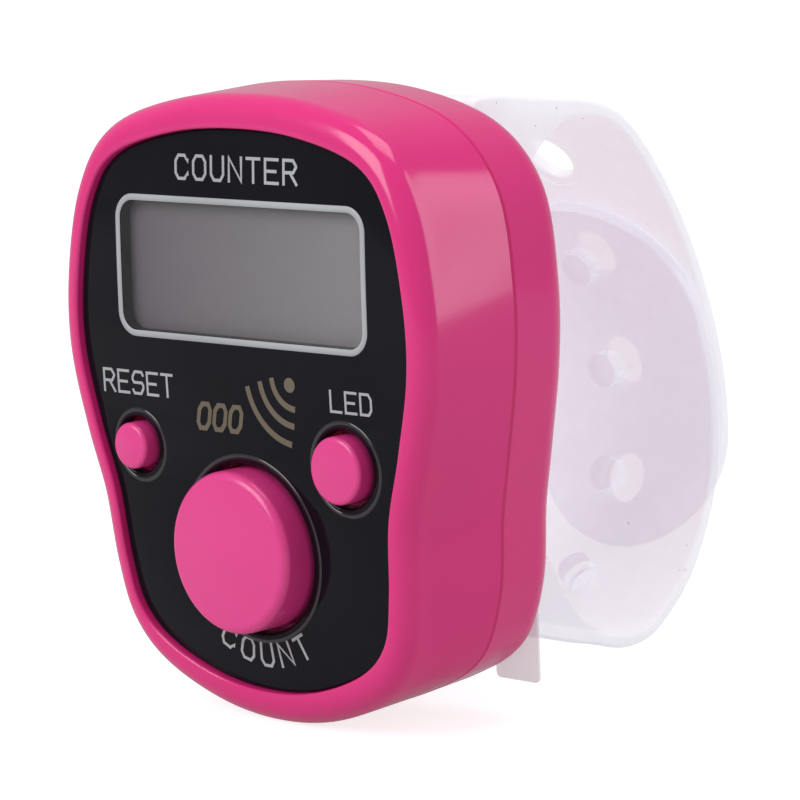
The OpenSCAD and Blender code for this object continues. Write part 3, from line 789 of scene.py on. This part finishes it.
def make_marks():
    """The silver labels and the gold symbol: three zeros, three arcs and a dot."""
    count_z = BUTTONS["count_button"][1]
    silver = word("RESET", straight(-9.3, LCD_Z - 8.0), 0.93, 1.35, 0.38, 0.17)
    silver += word("LED", straight(9.1, LCD_Z - 7.8), 0.86, 1.22, 0.37, 0.16)
    silver += word("COUNT", under_arc(0, count_z, 7.3), 1.1, 1.4, 0.72, 0.19)
    silver += word("COUNTER", straight(0, LCD_Z + 5.5), 1.05, 1.4, 0.5, 0.19)
    labels = bend(add_mesh("silver_labels", *join(silver), sharp=20))
    finish_piece(labels, PRINT_SILVER, "case", None)
    gold = word("000", straight(-2.3, LCD_Z - 9.7), 0.95, 1.5, 0.42, 0.3, slant=0.22)
    for radius, first, last in ((4.15, 194, 260), (3.0, 192, 262), (1.95, 190, 262)):
        gold.append(stroke(arc((4.5, LCD_Z - 6.0), radius, first, last, 14), 0.38))
    dot_r, dot_t = 0.45, PRINT_T + PRINT_SUNK
    gold.append(turned([(0, 0), (dot_r, 0), (dot_r, dot_t), (0, dot_t)],
                       (4.05, Y_PANEL + PRINT_SUNK, LCD_Z - 6.5), steps=32))
    symbol = bend(add_mesh("gold_symbol", *join(gold), sharp=20))
    return finish_piece(symbol, PRINT_GOLD, "case", None)


# ---------------------------------------------------------------- finger band

def band_section(half, low, high):
    """(x, height) points around the band's cross-section, with rounded long edges."""
    edge = min(0.28, half * 0.5)
    flat, across, turn = half - edge, 14, 5
    level = [flat * (1 - 2 * k / across) for k in range(1, across)]
    points = arc((flat, high - edge), edge, 90, 0, turn)
    points += arc((flat, low + edge), edge, 0, -90, turn)
    points += [(x, low) for x in level]
    points += arc((-flat, low + edge), edge, -90, -180, turn)
    points += arc((-flat, high - edge), edge, 180, 90, turn)
    return points + [(-x, high) for x in level]


def along(line, t):
    """Point at fraction t of the length of a line."""
    run = runs_of(line)
    return np.array([np.interp(t * run[-1], run, line[:, k]) for k in (0, 1)])


def band_solid(s_slot, s_wing, s_tip, wing, low, high):
    """Points and faces of a band half, from the wing at its root to its half-round tip."""
    sign = 1 if s_tip > s_wing else -1
    radius = BAND_W / 2
    centre = s_tip - sign * radius
    wing_edge = open_spline(wing + [tuple(band_at(s_wing) + band_out(s_wing) * high)], 8)
    wing_steps, run_step = 40, 0.35
    stations = []
    for k in range(wing_steps):
        t = k / wing_steps
        s = s_slot + (s_wing - s_slot) * t
        stations.append((band_at(s) + band_out(s) * low, along(wing_edge, t), radius))
    steps = int(abs(centre - s_wing) / run_step)
    runs = [(s_wing + (centre - s_wing) * k / steps, radius) for k in range(steps)]
    runs += [(centre + sign * radius * math.sin(a), radius * math.cos(a))
             for a in np.linspace(0, math.radians(85), 44)]
    for s, half in runs:
        p, n = band_at(s), band_out(s)
        stations.append((p + n * low, p + n * high, half))
    rings = []
    for a, b, half in stations:
        height = np.linalg.norm(b - a)
        n = (b - a) / height
        rings.append([(x, *(a + n * h)) for x, h in band_section(half, 0.0, height)])
    return loft(rings)


def slot_strap(s0, s1, low, high):
    """The plain strap that passes through the case's slot."""
    rings = []
    for k in range(7):
        s = s0 + (s1 - s0) * k / 6
        p, n = band_at(s), band_out(s)
        rings.append([(x, *(p + n * h)) for x, h in band_section(BAND_W / 2 - 0.02, low, high)])
    return loft(rings)


def on_band(s, height):
    """Place and outward direction at run s, a height above the meeting surface."""
    p, n = band_at(s), band_out(s)
    q = p + n * height
    return (0, q[0], q[1]), (0, n[0], n[1])


def anchor_block(z):
    """The thick bar inside the case that keeps a band half in its slot."""
    y0, y1 = ANCHOR_DEPTHS
    height, corner, chamfer = 2.6, 0.5, 0.15

    def outline(inset):
        return rounded_rect(BAND_W - 2 * inset, height - 2 * inset, corner - inset) + [0, z]

    return loft([face_ring(outline(chamfer), y0), face_ring(outline(0), y0 + chamfer),
                 face_ring(outline(0), y1 - chamfer), face_ring(outline(chamfer), y1)])


def make_upper_band():
    """The band half with the holes; the first lies in the thicker wing, so it reaches higher."""
    low, high = BAND_GAP, BAND_GAP + BAND_T
    strap = band_solid(1.9, UPPER_WING_RUN, UPPER_TIP, UPPER_WING, low, high)
    band = add_mesh("upper_band_strap", *strap, sharp=50)
    tools = []
    reach = HOLE_R + HOLE_FLARE + 0.4
    for i in range(-2, 3):
        place, out = on_band(FIRST_STUD + i * STUD_PITCH, 0)
        top = high + (0.32 if i == -2 else 0)
        profile = [(0, -2), (reach, -2), (reach, low - FLUSH)]
        profile += [(HOLE_R + HOLE_FLARE * fall(a), low + HOLE_FLARE * rise(a)) for a in quarter(4)]
        profile += [(HOLE_R + HOLE_FLARE * rise(a), top - HOLE_FLARE * fall(a)) for a in quarter(4)]
        profile += [(reach, top + FLUSH), (reach, 3), (0, 3)]
        tools.append(turned(profile, place, out, 64))
    cut(band, tools, sharp=50)
    cut(band, [slot_strap(0.35, 2.6, low, high), anchor_block(SLOT_Z)], "UNION", sharp=50)
    finish_piece(band, BAND, None, "band_clear", "upper_band_root", "upper_band")
    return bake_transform(band)


def make_lower_band():
    """The band half with the studs, each with a dimple behind it."""
    low, high = -BAND_GAP - BAND_T, -BAND_GAP
    end = BAND_RUNS[-1]
    strap = band_solid(end - 1.9, LOWER_WING_RUN, LOWER_TIP, LOWER_WING, low, high)
    band = add_mesh("lower_band_strap", *strap, sharp=50)
    stud_edge, stud_root, stud_top = 0.5, -0.3, 0.98
    stud = [(0, stud_root), (STUD_R, stud_root), (STUD_R, STUD_H)]
    stud += arc((STUD_R - stud_edge, STUD_H), stud_edge, 0, 90, 8) + [(0, stud_top)]
    dimple = [(0, -1), (DIMPLE[0][0], -1)] + DIMPLE
    runs = [FIRST_STUD + i * STUD_PITCH for i in range(4)]
    cut(band, [turned(stud, *on_band(s, high), 48) for s in runs], "UNION", sharp=50)
    cut(band, [turned(dimple, *on_band(s, low), 48) for s in runs], sharp=50)
    root = [slot_strap(end - 0.35, end - 2.6, low, high), anchor_block(-SLOT_Z)]
    cut(band, root, "UNION", sharp=50)
    finish_piece(band, BAND, None, "band_clear", "lower_band_root", "lower_band")
    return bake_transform(band)


def make_strip():
    """The pull strip: a thin film whose lower end shows below the case."""
    w, h = STRIP_HIGH[0] - STRIP_LOW[0], STRIP_HIGH[2] - STRIP_LOW[2]
    centre = [(STRIP_LOW[0] + STRIP_HIGH[0]) / 2, (STRIP_LOW[2] + STRIP_HIGH[2]) / 2]
    line = rounded_rect(w, h, 0.35) + centre
    strip = add_mesh("pull_strip_film", *prism(line, STRIP_LOW[1], STRIP_HIGH[1]))
    return finish_piece(strip, STRIP_CLEAR, "strip", "strip_clear", "pull_strip")


# ---------------------------------------------------------------- carried CAD nodes

CARRIED = {
    "lcd_holder": WHITE, "lcd_glass": DISPLAY, "lcd_reflector": WHITE, "light_guide": WHITE,
    "backlight_led": WHITE, "elastomer_strip": ELASTOMER, "circuit_board": BOARD_GREEN,
    "driver_chip": CHIP_BLACK, "board_parts": CHIP_BLACK, "count_switch": CHIP_BLACK,
    "reset_switch": CHIP_BLACK, "light_switch": CHIP_BLACK, "board_screws": STEEL,
    "case_screws": STEEL, "left_cell": CELL_STEEL, "right_cell": CELL_STEEL,
    "cell_contacts": BRASS, "buzzer_plate": BRASS, "buzzer_ceramic": WHITE, "buzzer_leads": BRASS,
    "count_plunger": WHITE, "reset_plunger": WHITE, "light_plunger": WHITE, "contact_bridge": BRASS,
}


def dress_carried():
    """Gives the inner parts, which are shown as the CAD has them, their materials."""
    for name, mat in CARRIED.items():
        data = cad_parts[name].data
        data.materials.clear()
        data.materials.append(mat)


# ---------------------------------------------------------------- stage, light and camera

def make_floor():
    """A pale floor under the case, a little brighter to the camera than it is as a light."""
    reach = 3000.0
    z = CAD_BOX[0][2] / MM
    corners = [(-reach, -reach, z), (reach, -reach, z), (reach, reach, z), (-reach, reach, z)]
    floor = add_mesh("floor", corners, [(0, 1, 2, 3)])
    mat = plastic("floor_paper", (0.39, 0.39, 0.39), (0.41, 0.41, 0.41), 0.7, 0.9, 40)
    nodes, links = mat.node_tree.nodes, mat.node_tree.links
    glow = nodes["Principled BSDF"]
    glow.inputs["Emission Color"].default_value = (1, 1, 1, 1)
    path = nodes.new("ShaderNodeLightPath")
    level = nodes.new("ShaderNodeMapRange")
    level.inputs["To Min"].default_value = 0.2
    level.inputs["To Max"].default_value = 0.8
    links.new(path.outputs["Is Camera Ray"], level.inputs["Value"])
    links.new(level.outputs["Result"], glow.inputs["Emission Strength"])
    floor.data.materials.append(mat)


def area_light(name, place, target, size, power, size_y=None):
    """A soft light aimed at a point; places and sizes in metres, power in watts."""
    data = bpy.data.lights.new(name, "AREA")
    data.energy = power
    data.size = size
    if size_y:
        data.shape = "RECTANGLE"
        data.size_y = size_y
    light = bpy.data.objects.new(name, data)
    bpy.context.scene.collection.objects.link(light)
    light.location = place
    light.rotation_mode = "QUATERNION"
    light.rotation_quaternion = (Vector(place) - Vector(target)).to_track_quat("Z", "Y")


def make_world():
    """White to the camera; dimmer as a light and in reflections."""
    world = bpy.data.worlds.new("studio")
    bpy.context.scene.world = world
    world.use_nodes = True
    nodes, links = world.node_tree.nodes, world.node_tree.links
    seen = nodes["Background"]
    seen.inputs["Color"].default_value = (1, 1, 1, 1)
    seen.inputs["Strength"].default_value = 1.0
    lit = nodes.new("ShaderNodeBackground")
    lit.inputs["Color"].default_value = (1, 1, 1, 1)
    lit.inputs["Strength"].default_value = 0.47
    path = nodes.new("ShaderNodeLightPath")
    mix = nodes.new("ShaderNodeMixShader")
    links.new(path.outputs["Is Camera Ray"], mix.inputs["Fac"])
    links.new(lit.outputs["Background"], mix.inputs[1])
    links.new(seen.outputs["Background"], mix.inputs[2])
    links.new(mix.outputs["Shader"], nodes["World Output"].inputs["Surface"])


def make_lights():
    """A large key light from the upper left, a tall one behind on the right and one from above."""
    make_world()
    centre = (CAD_BOX[0] + CAD_BOX[1]) / 2
    area_light("key", (-0.16, -0.52, 0.34), centre, 0.40, 2.4)
    area_light("side", (0.36, 0.25, 0.18), centre, 0.13, 0.45, size_y=0.40)
    area_light("top", (0.05, 0.05, 0.55), centre, 0.35, 1.2)


def make_camera():
    """The photo's view, from the right and a little above."""
    azimuth, elevation, roll = map(math.radians, (44.0, 8.551, -2.148))
    distance = 0.22829
    target = Vector((13.153, Y_PANEL, 0.075)) * MM
    forward = Vector((-math.sin(azimuth) * math.cos(elevation),
                      math.cos(azimuth) * math.cos(elevation), -math.sin(elevation)))
    right = Vector((math.cos(azimuth), math.sin(azimuth), 0))
    up = right.cross(forward)
    tilted_right = right * math.cos(roll) + up * math.sin(roll)
    tilted_up = up * math.cos(roll) - right * math.sin(roll)
    data = bpy.data.cameras.new("camera")
    data.sensor_width = 36
    data.lens = 177.64
    data.clip_start = 0.01
    data.clip_end = 20
    camera = bpy.data.objects.new("camera", data)
    bpy.context.scene.collection.objects.link(camera)
    turn = Matrix((tilted_right, tilted_up, -forward)).transposed()
    camera.matrix_world = Matrix.Translation(target - forward * distance) @ turn.to_4x4()
    bpy.context.scene.camera = camera


make_camera()
make_lights()
make_floor()
make_front_shell()
make_back_cover()
make_door()
make_panel()
make_window()
make_window_trim()
make_panel_beads()
make_button("count_button", dome=0.25, edge=0.6)
make_button("reset_button", dome=0.1, edge=0.3)
make_button("light_button", dome=0.1, edge=0.3)
make_marks()
make_upper_band()
make_lower_band()
make_strip()
dress_carried()
bpy.context.scene.view_settings.view_transform = "Standard"
